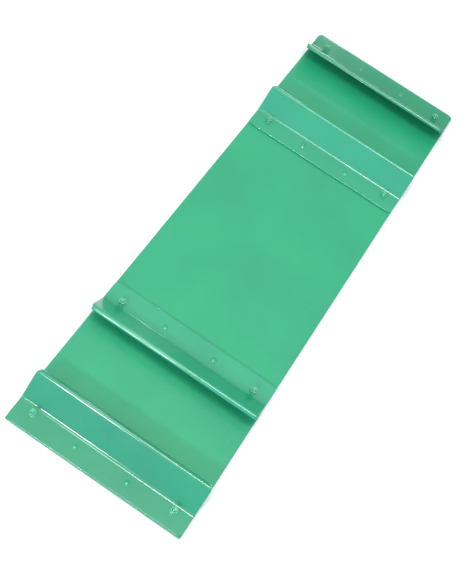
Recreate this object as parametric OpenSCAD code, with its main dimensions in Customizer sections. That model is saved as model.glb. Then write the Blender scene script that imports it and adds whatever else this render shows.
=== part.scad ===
// Straight slide bed, lying on its smooth sliding face with its cross brackets up.
// Millimetres. X runs across the bed, Y along it, Z up. The origin is under the
// middle of the bed, on the plane of the sliding face.

/* [Panel] */
// Length of the bed, end to end
panel_l = 1160; // [800:10:2000]
// Width of the bed
panel_w = 360; // [300:5:600]
// Thickness of the bed's sheet
panel_t = 4; // [3:0.1:8]
// Radius of the bed's four corners
panel_corner_r = 2; // [0.5:0.5:10]

/* [Brackets] */
// Thickness of the bracket sheet
bracket_t = 4; // [2:0.1:6]
// Width of the flange that lies on the panel, from its free edge to the bend line
base_w = 45; // [36:1:70]
// Length of the raised flange, from the bend line to the face of its turned-down edge
lip_l = 61; // [40:1:80]
// Angle of the raised flange above the panel, in degrees
lip_angle = 43; // [25:1:60]
// Inner radius of the bend
bend_r = 9; // [3:0.5:14]
// Inner radius of the bend of the turned-down edge
edge_bend_r = 2; // [1:0.5:4]
// Straight part of the turned-down edge, beyond its bend
edge_flat = 3.5; // [1:0.5:8]
// Width of each cross channel, from bend line to bend line
channel_w = 245; // [180:1:300]
// Radius of the flanges' corners
bracket_corner_r = 10; // [3:0.5:16]

/* [Screws] */
// Diameter of the thread
thread_d = 8; // [5:0.1:10]
// Diameter of the countersunk head
screw_head_d = 15.2; // [13:0.1:16]
// Width of the head's hexagon socket across its flats
socket_flats = 5; // [3:0.5:5.5]
// Depth of the hexagon socket
socket_depth = 2.5; // [1.5:0.1:3]
// Distance from the bed's side to the screws
screw_inset = 34; // [20:1:60]
// Length of thread that stands out of the nut
thread_out = 3.9; // [0:0.1:10]
// Outer diameter of the washers
washer_d = 16; // [14:0.5:20]
// Thickness of the washers
washer_t = 1.6; // [1:0.1:3]
// Gap between a washer and the start of the bend
washer_gap = 0.6; // [0.3:0.1:5]
// Width of the nuts across their flats
nut_flats = 13; // [12.5:0.5:16]
// Height of the nuts
nut_h = 6.5; // [4:0.1:9]

/* [Rivets] */
// Diameter of the rivet's shank
rivet_d = 6; // [4:0.1:8]
// Diameter of the low domed head on the bracket
rivet_dome_d = 12; // [10:0.5:14]
// Height of the domed head
rivet_dome_h = 1.8; // [1:0.1:4]
// Diameter of the countersunk head in the sliding face
rivet_sunk_d = 9.6; // [9:0.1:10]
// Distance between the two rivets of a bracket
rivet_pitch = 108; // [60:1:160]
// Distance from the bend line to the rivets
rivet_from_bend = 19; // [14:1:24]

/* [Clearances] */
// Clearance round the thread in the panel and the bracket
hole_gap = 0.5; // [0.2:0.1:1]
// Clearance round the thread in the washer
washer_bore_gap = 0.2; // [0.1:0.1:0.5]
// Running clearance between thread and nut, and round heads and rivets
fit_gap = 0.1; // [0.05:0.05:0.3]

/* [Hidden] */
BRACKETS = ["near_end", "near_inner", "far_inner", "far_end"];
SIDES = ["left", "right"];
FASTENERS = ["screw", "washer", "nut", "rivet"];

$fn = 64;
bend_steps = 16;           // flats along the bend's arc
corner_ease = 0.05;        // an arc set out this much meets the side at an angle, not a tangent
over = 1;                  // how far a cutter runs past the face it cuts
paint = [0.30, 0.75, 0.56];

// Where each bracket's bend line lies along the bed, and which way its raised flange leans
end_bend_y = panel_l / 2 - base_w;
inner_bend_y = end_bend_y - channel_w;
BEND_Y = [-end_bend_y, -inner_bend_y, inner_bend_y, end_bend_y];
LEAN = [1, -1, 1, -1];
SIDE_X = [-1, 1];

// The bend is an arc that leaves both flanges at this distance from the bend line
bend_tangent = bend_r * tan(lip_angle / 2);
edge_bend_outer_r = edge_bend_r + bracket_t;
edge_w = edge_bend_outer_r + edge_flat;
screw_from_bend = bend_tangent + washer_d / 2 + washer_gap;
screw_x = panel_w / 2 - screw_inset;
rivet_x = rivet_pitch / 2;

hole_d = thread_d + 2 * hole_gap;
base_top = panel_t + bracket_t;
nut_z = base_top + washer_t;
screw_l = nut_z + nut_h + thread_out;
head_cone_h = (screw_head_d - thread_d) / 2;
socket_corners = socket_flats / cos(30);
rivet_cone_h = (rivet_sunk_d - rivet_d) / 2;
thread_chamfer = thread_d / 10;
nut_corners = nut_flats / cos(30);
nut_chamfer_d = nut_flats * 0.95;
nut_chamfer_h = (nut_corners - nut_chamfer_d) / 2 * tan(30);

// Puts its children at a point of the base flange: x across the bed, and a distance
// from the bend line towards the flange's free edge
module on_base(b, x, from_bend) {
    translate([x, BEND_Y[b] - LEAN[b] * from_bend, 0]) children();
}

module at_screw(b, s) {
    on_base(b, SIDE_X[s] * screw_x, screw_from_bend) children();
}

module at_rivet(b, s) {
    on_base(b, SIDE_X[s] * rivet_x, rivet_from_bend) children();
}

// A 90 degree countersink in the sliding face, for a head of diameter d
module countersink(d) {
    mouth_d = d + 2 * fit_gap;
    translate([0, 0, -over])
        cylinder(h = mouth_d / 2 + over, d1 = mouth_d + 2 * over, d2 = 0);
}

module screw_hole() {
    translate([0, 0, -over])
        cylinder(h = base_top + 2 * over, d = hole_d);
}

module rivet_hole() {
    translate([0, 0, -over])
        cylinder(h = base_top + 2 * over, d = rivet_d + 2 * fit_gap);
}

module slide_panel() {
    color(paint)
        difference() {
            linear_extrude(panel_t) rounded_rectangle(panel_w, panel_l, panel_corner_r);
            for (b = [0:3], s = [0:1]) {
                at_screw(b, s) {
                    screw_hole();
                    countersink(screw_head_d);
                }
                at_rivet(b, s) {
                    rivet_hole();
                    countersink(rivet_sunk_d);
                }
            }
        }
}

module rounded_rectangle(w, l, r) {
    square([w, l - 2 * r], center = true);
    square([w - 2 * r, l], center = true);
    for (x = [-1, 1], y = [-1, 1])
        translate([x * (w / 2 - r), y * (l / 2 - r)]) circle(r);
}

function cos_sin(angle) = [cos(angle), sin(angle)];

// Points along an arc about a centre, from one angle to another
function arc(centre, r, from, to) =
    [for (i = [0:bend_steps]) centre + r * cos_sin(from + (to - from) * i / bend_steps)];

// A point of the bracket's section: a distance from the bend line along the raised
// flange's upper face, and a depth below that face
function on_lip(along, depth) = [0, bracket_t] + along * cos_sin(lip_angle)
    + depth * cos_sin(lip_angle - 90);

// The bracket's section: its first axis runs from the bend line towards the lean,
// its second one up from the panel
module bracket_section() {
    bend_centre = [-bend_tangent, bracket_t + bend_r];
    edge_centre = on_lip(lip_l - edge_bend_outer_r, edge_bend_outer_r);
    polygon(concat(
        [[-base_w, bracket_t], [-base_w, 0]],
        arc(bend_centre, bend_r + bracket_t, -90, lip_angle - 90),
        arc(edge_centre, edge_bend_r, lip_angle + 90, lip_angle),
        [on_lip(lip_l - bracket_t, edge_w), on_lip(lip_l, edge_w)],
        arc(edge_centre, edge_bend_outer_r, lip_angle, lip_angle + 90),
        arc(bend_centre, bend_r, lip_angle - 90, -90)
    ));
}

// Cuts the two corners of a flange whose free edge lies on y = 0, from z = 0 up to
// the given depth
module corner_cut(depth) {
    r = bracket_corner_r;
    for (side = SIDE_X)
        translate([side * (panel_w / 2 - r + corner_ease), -r + corner_ease, -over])
            linear_extrude(depth + 2 * over)
                difference() {
                    translate([side > 0 ? 0 : -r - over, 0]) square(r + over);
                    circle(r);
                }
}

module bracket(b) {
    color(paint)
        difference() {
            translate([0, BEND_Y[b], panel_t])
                mirror([0, LEAN[b] < 0 ? 1 : 0, 0])
                    difference() {
                        rotate([90, 0, 90])
                            linear_extrude(panel_w, center = true) bracket_section();
                        translate([0, -base_w, 0]) mirror([0, 1, 0]) corner_cut(bracket_t);
                        translate([0, 0, bracket_t]) rotate([lip_angle, 0, 0])
                            translate([0, lip_l, -edge_w]) corner_cut(edge_w);
                    }
            for (s = [0:1]) {
                at_screw(b, s) screw_hole();
                at_rivet(b, s) rivet_hole();
            }
        }
}

// A countersunk hexagon socket screw whose head is flush with the sliding face
module screw(b, s) {
    color(paint)
        at_screw(b, s)
            difference() {
                rotate_extrude()
                    polygon([
                        [0, 0], [screw_head_d / 2, 0],
                        [thread_d / 2, head_cone_h],
                        [thread_d / 2, screw_l - thread_chamfer],
                        [thread_d / 2 - thread_chamfer, screw_l], [0, screw_l]
                    ]);
                translate([0, 0, -over])
                    cylinder(h = socket_depth + over, d = socket_corners, $fn = 6);
            }
}

module washer(b, s) {
    color(paint)
        at_screw(b, s) translate([0, 0, base_top])
            difference() {
                cylinder(h = washer_t, d = washer_d);
                translate([0, 0, -over])
                    cylinder(h = washer_t + 2 * over, d = thread_d + 2 * washer_bore_gap);
            }
}

// A hexagon nut with its corners chamfered at both ends
module nut(b, s) {
    color(paint)
        at_screw(b, s) translate([0, 0, nut_z])
            difference() {
                intersection() {
                    cylinder(h = nut_h, d = nut_corners, $fn = 6);
                    rotate_extrude()
                        polygon([
                            [0, 0], [nut_chamfer_d / 2, 0], [nut_corners / 2, nut_chamfer_h],
                            [nut_corners / 2, nut_h - nut_chamfer_h],
                            [nut_chamfer_d / 2, nut_h], [0, nut_h]
                        ]);
                }
                translate([0, 0, -over])
                    cylinder(h = nut_h + 2 * over, d = thread_d + 2 * fit_gap);
            }
}

// A rivet with a countersunk head in the sliding face and a low dome on the bracket
module rivet(b, s) {
    dome_r = (pow(rivet_dome_d / 2, 2) + pow(rivet_dome_h, 2)) / (2 * rivet_dome_h);
    color(paint)
        at_rivet(b, s) {
            cylinder(h = rivet_cone_h, d1 = rivet_sunk_d, d2 = rivet_d);
            cylinder(h = base_top + rivet_dome_h / 2, d = rivet_d);
            translate([0, 0, base_top])
                intersection() {
                    cylinder(h = rivet_dome_h + over, d = rivet_dome_d + over);
                    translate([0, 0, rivet_dome_h - dome_r]) sphere(dome_r);
                }
        }
}

slide_panel();
for (b = [0:3]) {
    bracket(b);
    for (s = [0:1]) {
        screw(b, s);
        washer(b, s);
        nut(b, s);
        rivet(b, s);
    }
}
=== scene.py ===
"""Looks of the straight slide bed: a painted steel sheet lying on its sliding face, with four
bent cross brackets bolted and riveted to its back."""
import math

import bpy
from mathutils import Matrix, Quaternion, Vector


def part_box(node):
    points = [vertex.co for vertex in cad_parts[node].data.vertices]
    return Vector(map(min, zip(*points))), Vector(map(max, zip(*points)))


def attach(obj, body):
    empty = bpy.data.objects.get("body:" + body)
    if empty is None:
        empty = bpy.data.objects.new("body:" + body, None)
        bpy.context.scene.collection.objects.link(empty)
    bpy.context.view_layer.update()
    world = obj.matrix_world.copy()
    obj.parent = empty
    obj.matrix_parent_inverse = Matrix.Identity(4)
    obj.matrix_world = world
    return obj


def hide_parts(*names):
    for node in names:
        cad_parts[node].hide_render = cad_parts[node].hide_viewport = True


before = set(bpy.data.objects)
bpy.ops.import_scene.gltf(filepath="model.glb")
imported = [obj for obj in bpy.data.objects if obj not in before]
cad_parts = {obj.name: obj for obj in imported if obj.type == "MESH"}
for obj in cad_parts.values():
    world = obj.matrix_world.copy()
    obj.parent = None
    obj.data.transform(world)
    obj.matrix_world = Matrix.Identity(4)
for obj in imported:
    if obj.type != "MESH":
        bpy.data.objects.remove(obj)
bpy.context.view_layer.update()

MM = 0.001
BRACKETS = ("near_end", "near_inner", "far_inner", "far_end")
SIDES = ("left", "right")

# Sizes read from the frame
panel_low, panel_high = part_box("slide_panel")
PANEL_W = panel_high.x - panel_low.x
PANEL_L = panel_high.y - panel_low.y
PANEL_T = panel_high.z - panel_low.z
washer_low, washer_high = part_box("near_end_left_washer")
BRACKET_T = washer_low.z - PANEL_T
WASHER_R = (washer_high.x - washer_low.x) / 2

# Sizes of the bent sheet, given here
BEND_R = 9 * MM
LIP_ANGLE = math.radians(43)
LIP_L = 61 * MM
EDGE_BEND_R = 2 * MM
EDGE_FLAT = 3.5 * MM
BRACKET_CORNER_R = 10 * MM
PANEL_CORNER_R = 2 * MM
RIM_R = 1.3 * MM          # the paint rounds every cut edge
RIM_SEGMENTS = 3
BEND_STEPS = 14
EDGE_BEND_STEPS = 8
CORNER_SEGMENTS = 8
CORNER_CORE_SIDES = 64
CORNER_EASE = 0.05 * MM   # keeps the corner's arc just clear of the sheet's side
OVER = 1 * MM             # how far a cutter passes what it cuts

# Cuts that give the flats enough faces to shade evenly, and let a flange wave a little
GRID = 6 * MM
CUTS_EACH_SIDE = 29
CUTS_ALONG_FLANGE = 6
PANEL_GRID = (12 * MM, 20 * MM)
PANEL_CUTS_EACH_SIDE = (14, 28)

# How the raised flanges wander: the size of a wave, its height, and where it is at its full height
WAVE_LENGTH = 0.11
WAVE_STRENGTH = 1.6 * MM
WAVE_FULL_AT = 20 * MM

# Fasteners: outer sizes from the frame, the rest given here
nut_low, nut_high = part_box("near_end_left_nut")
screw_low, screw_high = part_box("near_end_left_screw")
rivet_low, rivet_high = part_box("near_end_left_rivet")
WASHER_T = washer_high.z - washer_low.z
NUT_H = nut_high.z - nut_low.z
NUT_FLATS = nut_high.y - nut_low.y
SCREW_HEAD_R = (screw_high.x - screw_low.x) / 2
SCREW_L = screw_high.z
SCREW_R = 4 * MM
PITCH = 1.25 * MM
SOCKET_FLATS = 5 * MM
SOCKET_DEPTH = 2.5 * MM
RIVET_R = (rivet_high.x - rivet_low.x) / 2
RIVET_H = rivet_high.z - washer_low.z
RIVET_SHANK_R = 3 * MM
RIVET_SUNK_R = 4.8 * MM
FIT_GAP = 0.1 * MM
HOLE_GAP = 0.5 * MM
WASHER_BORE_GAP = 0.2 * MM
WASHER_EDGE_R = 0.45 * MM
NUT_FACE_SHARE = 0.475    # radius of the round end face, as a share of the width across flats
NUT_CHAMFER = 30          # degrees
NUT_CHAMFER_SLOPE = 0.577
NUT_MOUTH = 0.5 * MM
NUT_EDGE_R = 0.35 * MM
THREAD_DEPTH = 0.7 * MM
THREAD_ROOT_SINK = 0.2 * MM
THREAD_FLANK = 0.40 * PITCH
THREAD_CREST = 0.14 * PITCH
THREAD_TURNS_IN_NUT = 2
THREAD_SPARE_TURNS = 3
THREAD_STEPS = 32
SCREW_TIP_CHAMFER = 0.8 * MM
SCREW_HEAD_BREAK = 0.15 * MM
LATHE_STEPS = 48
NUT_BARREL_STEPS = 60
DRILL_STEPS = 40
TURN_PER_FASTENER = 2.4   # radians by which each one is turned on from the last
TURN_PER_LETTER = 0.3


# ---------------------------------------------------------------- modelling helpers

def deselect_all():
    bpy.ops.object.select_all(action="DESELECT")


def start(add, name, **place):
    """Adds a primitive with nothing else selected, and names it."""
    deselect_all()
    add(**place)
    piece = bpy.context.object
    piece.name = name
    piece.data.name = name
    return piece


def edit(kind="VERT"):
    bpy.ops.object.mode_set(mode="EDIT")
    bpy.ops.mesh.select_mode(type=kind)


def done():
    bpy.ops.object.mode_set(mode="OBJECT")


def pick_vertices(piece, test):
    """In edit mode, selects just the vertices whose place passes the test."""
    bpy.ops.mesh.select_mode(type="VERT")
    bpy.ops.mesh.select_all(action="DESELECT")
    done()
    for v in piece.data.vertices:
        v.select = test(v.co)
    bpy.ops.object.mode_set(mode="EDIT")


def modify(piece, kind, **settings):
    """Adds a modifier, sets it and applies it."""
    deselect_all()
    piece.select_set(True)
    bpy.context.view_layer.objects.active = piece
    modifier = piece.modifiers.new(kind.title(), kind)
    for key, value in settings.items():
        setattr(modifier, key, value)
    bpy.ops.object.modifier_apply(modifier=modifier.name)


def settle(piece):
    """Bakes the object's place, turn and scale into its mesh."""
    deselect_all()
    piece.select_set(True)
    bpy.context.view_layer.objects.active = piece
    bpy.ops.object.transform_apply(location=True, rotation=True, scale=True)


def outward(piece):
    """Makes a closed piece's faces point out."""
    bpy.context.view_layer.objects.active = piece
    edit()
    bpy.ops.mesh.select_all(action="SELECT")
    bpy.ops.mesh.remove_doubles(threshold=1e-6)
    bpy.ops.mesh.normals_make_consistent(inside=False)
    done()


def smooth(piece, degrees=35):
    deselect_all()
    piece.select_set(True)
    bpy.context.view_layer.objects.active = piece
    bpy.ops.object.shade_smooth_by_angle(angle=math.radians(degrees))


def cut_across(piece, axis, places):
    """Cuts the whole mesh with a plane square to an axis at each place."""
    bpy.context.view_layer.objects.active = piece
    edit()
    normal = [0.0, 0.0, 0.0]
    normal[axis] = 1.0
    for place in places:
        bpy.ops.mesh.select_all(action="SELECT")
        point = [place * n for n in normal]
        bpy.ops.mesh.bisect(plane_co=point, plane_no=normal)
    done()


def boolean(piece, operation, *tools):
    for tool in tools:
        modify(piece, "BOOLEAN", operation=operation, object=tool, solver="EXACT")
        bpy.data.objects.remove(tool)


def turned(name, profile, steps=LATHE_STEPS):
    """A closed solid of revolution about Z: a point drawn out along a profile and spun."""
    piece = start(bpy.ops.mesh.primitive_plane_add, name, size=MM)
    edit()
    bpy.ops.mesh.select_all(action="SELECT")
    bpy.ops.mesh.merge(type="CENTER")
    first = profile[0]
    bpy.ops.transform.translate(value=(first[0], 0, first[1]))
    for here, there in zip(profile, profile[1:]):
        step = (there[0] - here[0], 0, there[1] - here[1])
        bpy.ops.mesh.extrude_region_move(TRANSFORM_OT_translate={"value": step})
    bpy.ops.mesh.select_all(action="SELECT")
    bpy.ops.mesh.spin(steps=steps, angle=math.tau, center=(0, 0, 0), axis=(0, 0, 1))
    done()
    outward(piece)
    return piece


# ---------------------------------------------------------------- bent brackets

BASE_TOP = PANEL_T + BRACKET_T
BEND_TANGENT = BEND_R * math.tan(LIP_ANGLE / 2)
EDGE_BEND_OUTER_R = EDGE_BEND_R + BRACKET_T
EDGE_W = EDGE_BEND_OUTER_R + EDGE_FLAT
LIP_RUN = math.cos(LIP_ANGLE)
LIP_RISE = math.sin(LIP_ANGLE)


def chain(name, first, *steps):
    """A line of edges drawn out of one point, left in edit mode with its last point selected."""
    piece = start(bpy.ops.mesh.primitive_plane_add, name, size=MM)
    edit()
    bpy.ops.mesh.select_all(action="SELECT")
    bpy.ops.mesh.merge(type="CENTER")
    bpy.ops.transform.translate(value=first)
    for step in steps:
        bpy.ops.mesh.extrude_region_move(TRANSFORM_OT_translate={"value": step})
    return piece


def on_lip(x, along, depth):
    """A point of the raised flange: along it from the bend line, and below its upper face."""
    return Vector((x, along * LIP_RUN + depth * LIP_RISE,
                   BASE_TOP + along * LIP_RISE - depth * LIP_RUN))


def corner_cutter(side):
    """What a rounded corner takes off the raised flange and its turned-down edge."""
    size = BRACKET_CORNER_R + OVER
    height = EDGE_W + 2 * OVER
    block = start(bpy.ops.mesh.primitive_cube_add, "corner block", size=1,
                  location=(side * size / 2, size / 2, 0))
    block.scale = (size, size, height)
    settle(block)
    core = start(bpy.ops.mesh.primitive_cylinder_add, "corner core",
                 vertices=CORNER_CORE_SIDES, radius=BRACKET_CORNER_R, depth=2 * height,
                 location=(0, 0, 0))
    boolean(block, "DIFFERENCE", core)
    block.rotation_euler.x = LIP_ANGLE
    block.location = on_lip(side * (PANEL_W / 2 - BRACKET_CORNER_R + CORNER_EASE),
                            LIP_L - BRACKET_CORNER_R + CORNER_EASE, EDGE_W / 2)
    settle(block)
    return block


def bent_sheet(name, base_w):
    """A bracket whose bend line lies on X and whose raised flange leans towards +Y."""
    half = PANEL_W / 2
    flat = base_w - BEND_TANGENT
    raised = LIP_L - EDGE_BEND_OUTER_R - BEND_TANGENT
    sheet = chain(name, (-half, -base_w, BASE_TOP), (0, flat, 0))
    bend_middle = (-half, -BEND_TANGENT, BASE_TOP + BEND_R)
    bpy.ops.mesh.spin(steps=BEND_STEPS, angle=LIP_ANGLE, center=bend_middle, axis=(-1, 0, 0))
    bpy.ops.mesh.extrude_region_move(
        TRANSFORM_OT_translate={"value": (0, raised * LIP_RUN, raised * LIP_RISE)})
    edge_middle = on_lip(-half, LIP_L - EDGE_BEND_OUTER_R, EDGE_BEND_OUTER_R)
    bpy.ops.mesh.spin(steps=EDGE_BEND_STEPS, angle=math.pi / 2, center=edge_middle,
                      axis=(1, 0, 0))
    bpy.ops.mesh.extrude_region_move(
        TRANSFORM_OT_translate={"value": (0, EDGE_FLAT * LIP_RISE, -EDGE_FLAT * LIP_RUN)})
    bpy.ops.mesh.select_all(action="SELECT")
    bpy.ops.mesh.extrude_region_move(TRANSFORM_OT_translate={"value": (PANEL_W, 0, 0)})
    pick_vertices(sheet, lambda co: abs(abs(co.x) - half) < MM and co.y < -base_w + MM)
    bpy.ops.mesh.bevel(affect="VERTICES", offset=BRACKET_CORNER_R, segments=CORNER_SEGMENTS,
                       profile=0.5)
    bpy.ops.mesh.select_all(action="SELECT")
    bpy.ops.mesh.normals_make_consistent(inside=False)
    done()
    if max(sheet.data.polygons, key=lambda f: f.area).normal.z < 0:
        edit()
        bpy.ops.mesh.select_all(action="SELECT")
        bpy.ops.mesh.flip_normals()
        done()
    modify(sheet, "SOLIDIFY", thickness=BRACKET_T, offset=-1, use_even_offset=True)
    boolean(sheet, "DIFFERENCE", corner_cutter(-1), corner_cutter(1))
    outward(sheet)
    round_rims(sheet)
    along_flange = range(1, CUTS_ALONG_FLANGE + 1)
    cut_across(sheet, 0, both_sides(GRID, CUTS_EACH_SIDE))
    cut_across(sheet, 1, [-BEND_TANGENT - step * GRID for step in along_flange])
    cut_across(sheet, 1, [BEND_TANGENT + step * GRID for step in along_flange])
    return sheet


def both_sides(spacing, count):
    """Evenly spaced places through 0, with as many on each side of it."""
    return [step * spacing for step in range(-count, count + 1)]


def round_rims(piece):
    modify(piece, "BEVEL", width=RIM_R, segments=RIM_SEGMENTS, limit_method="ANGLE",
           angle_limit=math.radians(60), use_clamp_overlap=False)


def weigh_normals(piece):
    """Keeps the flats flat, so that only the rounded rims turn the light."""
    smooth(piece, 40)
    modify(piece, "WEIGHTED_NORMAL", keep_sharp=True)


# ---------------------------------------------------------------- panel

def panel():
    bed = start(bpy.ops.mesh.primitive_cube_add, "slide_panel_painted", size=1,
                location=(0, 0, PANEL_T / 2))
    bed.scale = (PANEL_W, PANEL_L, PANEL_T)
    settle(bed)
    edit("EDGE")
    bpy.ops.mesh.select_all(action="DESELECT")
    done()
    for e in bed.data.edges:
        a, b = (bed.data.vertices[i].co for i in e.vertices)
        e.select = abs(a.z - b.z) > MM
    edit("EDGE")
    bpy.ops.mesh.bevel(offset=PANEL_CORNER_R, segments=4)
    done()
    round_rims(bed)
    for axis in (0, 1):
        cut_across(bed, axis, both_sides(PANEL_GRID[axis], PANEL_CUTS_EACH_SIDE[axis]))
    return bed


# ---------------------------------------------------------------- fasteners

def arc_points(centre, radius, from_angle, to_angle, steps):
    points = []
    for i in range(steps + 1):
        angle = math.radians(from_angle + (to_angle - from_angle) * i / steps)
        points.append((centre[0] + radius * math.cos(angle), centre[1] + radius * math.sin(angle)))
    return points


def washer():
    """A plain washer whose punched edge is rounded by the press and the paint."""
    low, high = BASE_TOP, BASE_TOP + WASHER_T
    edge = WASHER_EDGE_R
    bore = SCREW_R + WASHER_BORE_GAP
    profile = [(bore, low), (WASHER_R, low)]
    profile += arc_points((WASHER_R - edge, high - edge), edge, 0, 90, 4)
    profile += [(bore, high), (bore, low)]
    return turned("washer", profile)


def nut():
    """A hexagon nut: six flats, chamfered corners at both ends and a countersunk bore."""
    low, high = BASE_TOP + WASHER_T, BASE_TOP + WASHER_T + NUT_H
    corner_r = NUT_FLATS / math.sqrt(3)
    piece = start(bpy.ops.mesh.primitive_cylinder_add, "nut", vertices=6, radius=corner_r,
                  depth=NUT_H, location=(0, 0, (low + high) / 2))
    settle(piece)
    face_r = NUT_FLATS * NUT_FACE_SHARE
    drop = (corner_r - face_r) * math.tan(math.radians(NUT_CHAMFER))
    over = OVER / 2
    outer, drop = corner_r + over, drop + over * NUT_CHAMFER_SLOPE
    barrel = turned("nut barrel", [
        (0, low), (face_r, low), (outer, low + drop), (outer, high - drop), (face_r, high),
        (0, high)], steps=NUT_BARREL_STEPS)
    boolean(piece, "INTERSECT", barrel)
    bore = SCREW_R + FIT_GAP
    mouth = bore + NUT_MOUTH
    drill = turned("nut drill", [
        (0, low - over), (mouth + over, low - over), (bore, low + NUT_MOUTH),
        (bore, high - NUT_MOUTH), (mouth + over, high + over), (0, high + over)],
        steps=DRILL_STEPS)
    boolean(piece, "DIFFERENCE", drill)
    modify(piece, "BEVEL", width=NUT_EDGE_R, segments=2, limit_method="ANGLE",
           angle_limit=math.radians(25))
    return piece


def rivet():
    """A solid rivet: low domed head on the bracket, flush countersunk head in the sliding face."""
    dome_r = (RIVET_R ** 2 + RIVET_H ** 2) / (2 * RIVET_H)
    dome_middle = (0, BASE_TOP + RIVET_H - dome_r)
    brim = math.degrees(math.asin(RIVET_R / dome_r))
    dome = arc_points(dome_middle, dome_r, 90 - brim, 90, 8)
    profile = [(0, 0), (RIVET_SUNK_R, 0), (RIVET_SHANK_R, RIVET_SUNK_R - RIVET_SHANK_R),
               (RIVET_SHANK_R, BASE_TOP), (RIVET_R, BASE_TOP)]
    return turned("rivet", profile + dome)


def screw():
    """A countersunk screw with a hexagon socket, its thread standing out of the nut."""
    root_r = SCREW_R - THREAD_DEPTH
    thread_low = BASE_TOP + WASHER_T + NUT_H - THREAD_TURNS_IN_NUT * PITCH
    body = turned("screw", [
        (0, 0), (SCREW_HEAD_R - SCREW_HEAD_BREAK, 0), (SCREW_HEAD_R, SCREW_HEAD_BREAK),
        (SCREW_R, SCREW_HEAD_R - SCREW_R), (SCREW_R, thread_low), (root_r, thread_low),
        (root_r, SCREW_L), (0, SCREW_L)])
    tooth = chain("thread", (root_r - THREAD_ROOT_SINK, 0, thread_low - PITCH),
                  (SCREW_R - root_r + THREAD_ROOT_SINK, 0, THREAD_FLANK), (0, 0, THREAD_CREST),
                  (root_r - THREAD_ROOT_SINK - SCREW_R, 0, THREAD_FLANK))
    bpy.ops.mesh.select_all(action="SELECT")
    bpy.ops.mesh.edge_face_add()
    done()
    turns = round((SCREW_L - thread_low) / PITCH) + THREAD_SPARE_TURNS
    modify(tooth, "SCREW", screw_offset=PITCH, iterations=turns, steps=THREAD_STEPS,
           render_steps=THREAD_STEPS, axis="Z", use_normal_calculate=False)
    outward(tooth)
    trim = turned("thread trim", [
        (0, thread_low + FIT_GAP), (SCREW_R * 1.2, thread_low + FIT_GAP),
        (SCREW_R * 1.2, SCREW_L - SCREW_TIP_CHAMFER - 0.2 * SCREW_R),
        (SCREW_R - SCREW_TIP_CHAMFER, SCREW_L), (0, SCREW_L)])
    boolean(tooth, "INTERSECT", trim)
    boolean(body, "UNION", tooth)
    socket = start(bpy.ops.mesh.primitive_cylinder_add, "socket", vertices=6,
                   radius=SOCKET_FLATS / math.sqrt(3), depth=2 * SOCKET_DEPTH,
                   location=(0, 0, 0))
    boolean(body, "DIFFERENCE", socket)
    return body


def finish_piece(piece, node, material):
    """Puts a piece in the place of a CAD node."""
    piece.data.materials.clear()
    piece.data.materials.append(material)
    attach(piece, "root")
    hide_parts(node)


def twin(piece, name):
    """A copy with a mesh of its own."""
    copy = piece.copy()
    copy.data = piece.data.copy()
    copy.name = name
    copy.data.name = name
    bpy.context.collection.objects.link(copy)
    return copy


# ---------------------------------------------------------------- paint

PAINT_IOR = 1.5
COAT_ROUGHNESS = 0.05
# Pale speck colour: a little dust on the sheets, and painted glints on the fasteners
DUST_AND_GLINT_COLOUR = (0.55, 0.80, 0.70, 1.0)
SPECK_RAMP = 0.06                    # how fast a speck fades in at its edge
SCUFF_STRETCH = (260.0, 7.0, 1.0)    # scuffs run along the bed
SCUFF_BAND = (0.56, 0.70)
SCUFF_ROUGHNESS = 0.25
SCUFF_FADE, SCUFF_WHITE = 0.72, 0.10

# The clouds in the paint: scale, detail and roughness of the noise, and the band of it in use
CLOUDING, CLOUDING_BAND = (7.0, 3.0), (0.35, 0.65)
FINE, FINE_BAND = (160.0, 4.0, 0.6), (0.3, 0.7, 0.0, 0.35)
SPECKS = (620.0, 2.0, 0.4)
SHEEN, SHEEN_BAND = (24.0, 4.0, 0.55), (0.3, 0.7)
ORANGE_PEEL, PEEL_STRENGTH, PEEL_DEPTH = (300.0, 2.0), 0.10, 0.0004
FLOW, FLOW_STRENGTH, FLOW_DEPTH = (26.0, 2.0), 0.25, 0.0012


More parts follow.
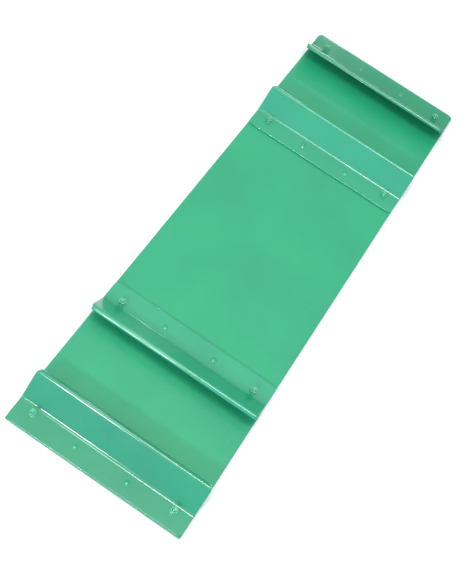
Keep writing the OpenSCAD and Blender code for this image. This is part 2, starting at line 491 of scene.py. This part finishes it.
def paint(name, colour, shade, sheen, coat, specks=(0.73, 0.40), scuffed=False):
    """Sprayed paint: slight clouding, orange peel, pale specks and scuffs underneath. A few pale
    specks are dust; the many on the fasteners are painted glints.
    """
    material = bpy.data.materials.new(name)
    material.use_nodes = True
    tree = material.node_tree
    gloss = tree.nodes["Principled BSDF"]
    gloss.inputs["IOR"].default_value = PAINT_IOR
    gloss.inputs["Coat Weight"].default_value = coat
    gloss.inputs["Coat Roughness"].default_value = COAT_ROUGHNESS

    def node(kind, **inputs):
        made = tree.nodes.new(kind)
        for key, value in inputs.items():
            made.inputs[key.replace("_", " ")].default_value = value
        return made

    def join(source, out, target, into):
        tree.links.new(source.outputs[out], target.inputs[into])

    place = node("ShaderNodeTexCoord")

    def noise(scale, detail, rough=0.5, stretch=None):
        cloud = node("ShaderNodeTexNoise", Scale=scale, Detail=detail, Roughness=rough)
        if stretch:
            turn = node("ShaderNodeMapping", Scale=stretch)
            join(place, "Object", turn, "Vector")
            join(turn, "Vector", cloud, "Vector")
        else:
            join(place, "Object", cloud, "Vector")
        return cloud

    def mix(amount, first, second):
        blend = tree.nodes.new("ShaderNodeMix")
        blend.data_type = "RGBA"
        for socket, value in ((0, amount), (6, first), (7, second)):
            if isinstance(value, tuple) and hasattr(value[0], "outputs"):
                tree.links.new(value[0].outputs[value[1]], blend.inputs[socket])
            else:
                blend.inputs[socket].default_value = value
        return (blend, 2)

    def band(cloud, low, high, to_low=0.0, to_high=1.0):
        ramp = node("ShaderNodeMapRange", From_Min=low, From_Max=high,
                    To_Min=to_low, To_Max=to_high)
        join(cloud, 0, ramp, "Value")
        return ramp

    clouding = band(noise(*CLOUDING), *CLOUDING_BAND)
    fine = band(noise(*FINE), *FINE_BAND)
    speck_from, speck_share = specks
    # Pale specks: a few are dust; where they are many, as on the fasteners, they are painted glints
    # standing in for sparkling light
    dust_and_glint = band(noise(*SPECKS), speck_from, speck_from + SPECK_RAMP, 0.0, speck_share)
    tone = mix((clouding, 0), colour, shade)
    tone = mix((fine, 0), tone, shade)
    tone = mix((dust_and_glint, 0), tone, DUST_AND_GLINT_COLOUR)
    sheen = band(noise(*SHEEN), *SHEEN_BAND, *sheen)
    if scuffed:
        facing = node("ShaderNodeNewGeometry")
        split = node("ShaderNodeSeparateXYZ")
        join(facing, "Normal", split, "Vector")
        below = node("ShaderNodeMapRange", From_Min=-0.5, From_Max=-0.9)
        join(split, "Z", below, "Value")
        scratch = band(noise(1.0, 6.0, 0.7, SCUFF_STRETCH), *SCUFF_BAND)
        both = node("ShaderNodeMath")
        both.operation = "MULTIPLY"
        join(below, 0, both, 0)
        join(scratch, 0, both, 1)
        worn_tone = tuple(SCUFF_FADE * c + SCUFF_WHITE for c in shade[:3]) + (1.0,)
        tone = mix((both, 0), tone, worn_tone)
        worn = node("ShaderNodeMath")
        worn.operation = "MULTIPLY_ADD"
        worn.inputs[1].default_value = SCUFF_ROUGHNESS
        join(both, 0, worn, 0)
        join(sheen, 0, worn, 2)
        sheen = worn
    tree.links.new(tone[0].outputs[tone[1]], gloss.inputs["Base Color"])
    join(sheen, 0, gloss, "Roughness")

    peel = node("ShaderNodeBump", Strength=PEEL_STRENGTH, Distance=PEEL_DEPTH)
    join(noise(*ORANGE_PEEL), 0, peel, "Height")
    flow = node("ShaderNodeBump", Strength=FLOW_STRENGTH, Distance=FLOW_DEPTH)
    join(noise(*FLOW), 0, flow, "Height")
    join(flow, "Normal", peel, "Normal")
    join(peel, "Normal", gloss, "Normal")
    join(peel, "Normal", gloss, "Coat Normal")
    return material


panel_paint = paint("panel paint", (0.020, 0.395, 0.180, 1.0), (0.018, 0.350, 0.170, 1.0),
                    sheen=(0.36, 0.46), coat=0.15, scuffed=True)
inner_paint = paint("inner bracket paint", (0.019, 0.385, 0.196, 1.0), (0.017, 0.345, 0.182, 1.0),
                    sheen=(0.13, 0.21), coat=0.6)
# The end brackets' paint is a darker copy of the inner brackets' paint: painted shade, standing in
# for the dimmer light on the two end brackets.
end_paint_painted_shade = paint("end bracket paint, darkened as painted shade", (0.019, 0.325, 0.155, 1.0), (0.017, 0.290, 0.148, 1.0),
                  sheen=(0.13, 0.21), coat=0.6)
# The fasteners' many pale specks are painted glints: colour standing in for light sparkling on the
# nuts, washers and screw ends.
fastener_paint = paint("fastener paint", (0.035, 0.450, 0.235, 1.0), (0.030, 0.410, 0.215, 1.0),
                       sheen=(0.08, 0.14), coat=1.0, specks=(0.58, 0.60))
rivet_paint = paint("rivet paint", (0.021, 0.400, 0.196, 1.0), (0.018, 0.350, 0.180, 1.0),
                    sheen=(0.12, 0.20), coat=0.8)


# ---------------------------------------------------------------- assembly

def middle(node):
    low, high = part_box(node)
    return (low + high) / 2


def bored(piece, places, radius, sunk_r):
    """Bores the piece at each place, with a countersink from below where there is a head."""
    for place in places:
        profile = [(0, -OVER)]
        if sunk_r:
            profile += [(sunk_r + OVER, -OVER), (radius, sunk_r - radius)]
        else:
            profile += [(radius, -OVER)]
        profile += [(radius, BASE_TOP + OVER), (0, BASE_TOP + OVER)]
        drill = turned("drill", profile, steps=DRILL_STEPS)
        drill.location = (place.x, place.y, 0)
        settle(drill)
        boolean(piece, "DIFFERENCE", drill)


def wave(piece, texture):
    """Lets the raised flange wander by a few tenths of a millimetre, as folded sheet does."""
    raised = piece.vertex_groups.new(name="raised")
    for v in piece.data.vertices:
        share = (v.co.z - BASE_TOP) / WAVE_FULL_AT
        raised.add([v.index], min(1.0, max(0.0, share)), "REPLACE")
    modify(piece, "DISPLACE", texture=texture, texture_coords="LOCAL", direction="Z",
           strength=WAVE_STRENGTH, mid_level=0.5, vertex_group="raised")
    piece.vertex_groups.clear()


screw_places = [middle(f"{b}_{s}_screw") for b in BRACKETS for s in SIDES]
rivet_places = [middle(f"{b}_{s}_rivet") for b in BRACKETS for s in SIDES]

bed = panel()
bored(bed, screw_places, SCREW_R + HOLE_GAP, SCREW_HEAD_R + FIT_GAP)
bored(bed, rivet_places, RIVET_SHANK_R + FIT_GAP, RIVET_SUNK_R + FIT_GAP)
weigh_normals(bed)
finish_piece(bed, "slide_panel", panel_paint)

waviness = bpy.data.textures.new("waviness", "CLOUDS")
waviness.noise_scale = WAVE_LENGTH
waviness.noise_depth = 1
bracket_low, bracket_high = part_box("near_end_bracket")
BASE_W = bracket_high.y - bracket_low.y - LIP_L * LIP_RUN - EDGE_W * LIP_RISE
pattern = bent_sheet("bracket", BASE_W)
for index, bracket in enumerate(BRACKETS):
    low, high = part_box(f"{bracket}_bracket")
    leans_far = bracket in ("near_end", "far_inner")
    sheet = twin(pattern, f"{bracket}_bracket_painted")
    if leans_far:
        sheet.location.y = low.y + BASE_W
    else:
        sheet.location.y = high.y - BASE_W
        sheet.scale.y = -1
    settle(sheet)
    outward(sheet)
    wave(sheet, waviness)
    bored(sheet, screw_places[2 * index:2 * index + 2], SCREW_R + HOLE_GAP, 0)
    bored(sheet, rivet_places[2 * index:2 * index + 2], RIVET_SHANK_R + FIT_GAP, 0)
    weigh_normals(sheet)
    finish_piece(sheet, f"{bracket}_bracket",
                 end_paint_painted_shade if bracket.endswith("end") else inner_paint)
bpy.data.objects.remove(pattern)

for kind, pattern in (("washer", washer()), ("nut", nut()), ("rivet", rivet()), ("screw", screw())):
    for index, (bracket, side) in enumerate((b, s) for b in BRACKETS for s in SIDES):
        node = f"{bracket}_{side}_{kind}"
        piece = twin(pattern, f"{node}_painted")
        place = middle(node)
        piece.location = (place.x, place.y, 0)
        piece.rotation_euler.z = TURN_PER_FASTENER * index + TURN_PER_LETTER * len(kind)
        settle(piece)
        smooth(piece, 32)
        finish_piece(piece, node,
                     rivet_paint if kind == "rivet" else fastener_paint)
    bpy.data.objects.remove(pattern)


# ---------------------------------------------------------------- studio

FLOOR_SIZE = 14
FLOOR_DROP = 0.6 * MM     # the floor lies just under the sliding face
FLOOR_PAPER = (0.9, 0.9, 0.9, 1)
FLOOR_ROUGHNESS = 0.9
CEILING = (1.28, 1.28, 1.28, 1)
WALL = (0.48, 0.48, 0.48, 1)
FRONT_WALL = (0.62, 0.74, 1.10, 1)
FRONT_FADE = (-0.25, -0.85)          # how far a direction turns towards -Y as the front wall fades in
CEILING_FADE = (0.55, 1.0)           # the same, upwards, for the ceiling

scene = bpy.context.scene
scene.view_settings.view_transform = "Standard"

floor = start(bpy.ops.mesh.primitive_plane_add, "studio_floor", size=FLOOR_SIZE,
              location=(0, 0, -FLOOR_DROP))
floor_paper = bpy.data.materials.new("floor paper")
floor_paper.use_nodes = True
paper = floor_paper.node_tree.nodes["Principled BSDF"]
paper.inputs["Base Color"].default_value = FLOOR_PAPER
paper.inputs["Roughness"].default_value = FLOOR_ROUGHNESS
floor.data.materials.append(floor_paper)


def studio_walls(ceiling, wall, front_wall):
    """A pale room: bright ceiling, dimmer walls, and a cooler wall on the near side."""
    room = bpy.data.worlds.new("studio walls")
    room.use_nodes = True
    tree = room.node_tree
    way = tree.nodes.new("ShaderNodeTexCoord")
    split = tree.nodes.new("ShaderNodeSeparateXYZ")
    tree.links.new(way.outputs["Generated"], split.inputs["Vector"])

    def ramp(axis, start_at, end_at):
        made = tree.nodes.new("ShaderNodeMapRange")
        made.interpolation_type = "SMOOTHSTEP"
        made.inputs["From Min"].default_value = start_at
        made.inputs["From Max"].default_value = end_at
        tree.links.new(split.outputs[axis], made.inputs["Value"])
        return made

    def mix(amount, first, second):
        made = tree.nodes.new("ShaderNodeMix")
        made.data_type = "RGBA"
        tree.links.new(amount.outputs[0], made.inputs[0])
        for socket, value in ((6, first), (7, second)):
            if isinstance(value, tuple):
                made.inputs[socket].default_value = value
            else:
                tree.links.new(value.outputs[2], made.inputs[socket])
        return made

    sides = mix(ramp("Y", *FRONT_FADE), wall, front_wall)
    whole = mix(ramp("Z", *CEILING_FADE), sides, ceiling)
    tree.links.new(whole.outputs[2], tree.nodes["Background"].inputs["Color"])
    return room


scene.world = studio_walls(CEILING, WALL, FRONT_WALL)


def softbox(name, place, aim, size, power):
    """A rectangular white lamp at a place, turned to face a point."""
    lamp = bpy.data.lights.new(name, "AREA")
    lamp.shape = "RECTANGLE"
    lamp.size, lamp.size_y = size
    lamp.energy = power
    box = bpy.data.objects.new(name, lamp)
    bpy.context.collection.objects.link(box)
    box.location = place
    box.rotation_euler = (Vector(aim) - Vector(place)).to_track_quat("-Z", "Y").to_euler()


# place, point faced, size in metres, power in watts
softbox("ceiling_light", (0, -0.55, 3.0), (0, -0.1, 0), (1.1, 0.9), 22)
softbox("overhead_lamp", (0.14, -0.3, 2.9), (0.13, -0.1, 0), (0.5, 0.5), 8)
softbox("front_strip", (-0.47, -2.9, 1.85), (-0.08, -0.535, 0), (0.42, 0.25), 30)
softbox("back_strip", (-0.6, 3.2, 2.0), (-0.15, 0.1, 0), (0.15, 0.25), 6)

SENSOR_W = 36             # millimetres
FOCAL_LENGTH = 61.53      # millimetres
CAMERA_PLACE = (0.1374, -1.0632, 1.5996)
CAMERA_AIM = (-0.0032, -0.1037, 0)
CAMERA_ROLL = 26.54       # degrees

lens = bpy.data.cameras.new("camera")
lens.sensor_width = SENSOR_W
lens.lens = FOCAL_LENGTH
lens.clip_start = 0.05
camera = bpy.data.objects.new("camera", lens)
bpy.context.collection.objects.link(camera)
camera.location = CAMERA_PLACE
look = Vector(CAMERA_AIM) - camera.location
camera.rotation_euler = (look.to_track_quat("-Z", "Y") @
                         Quaternion((0, 0, 1), math.radians(CAMERA_ROLL))).to_euler()
scene.camera = camera
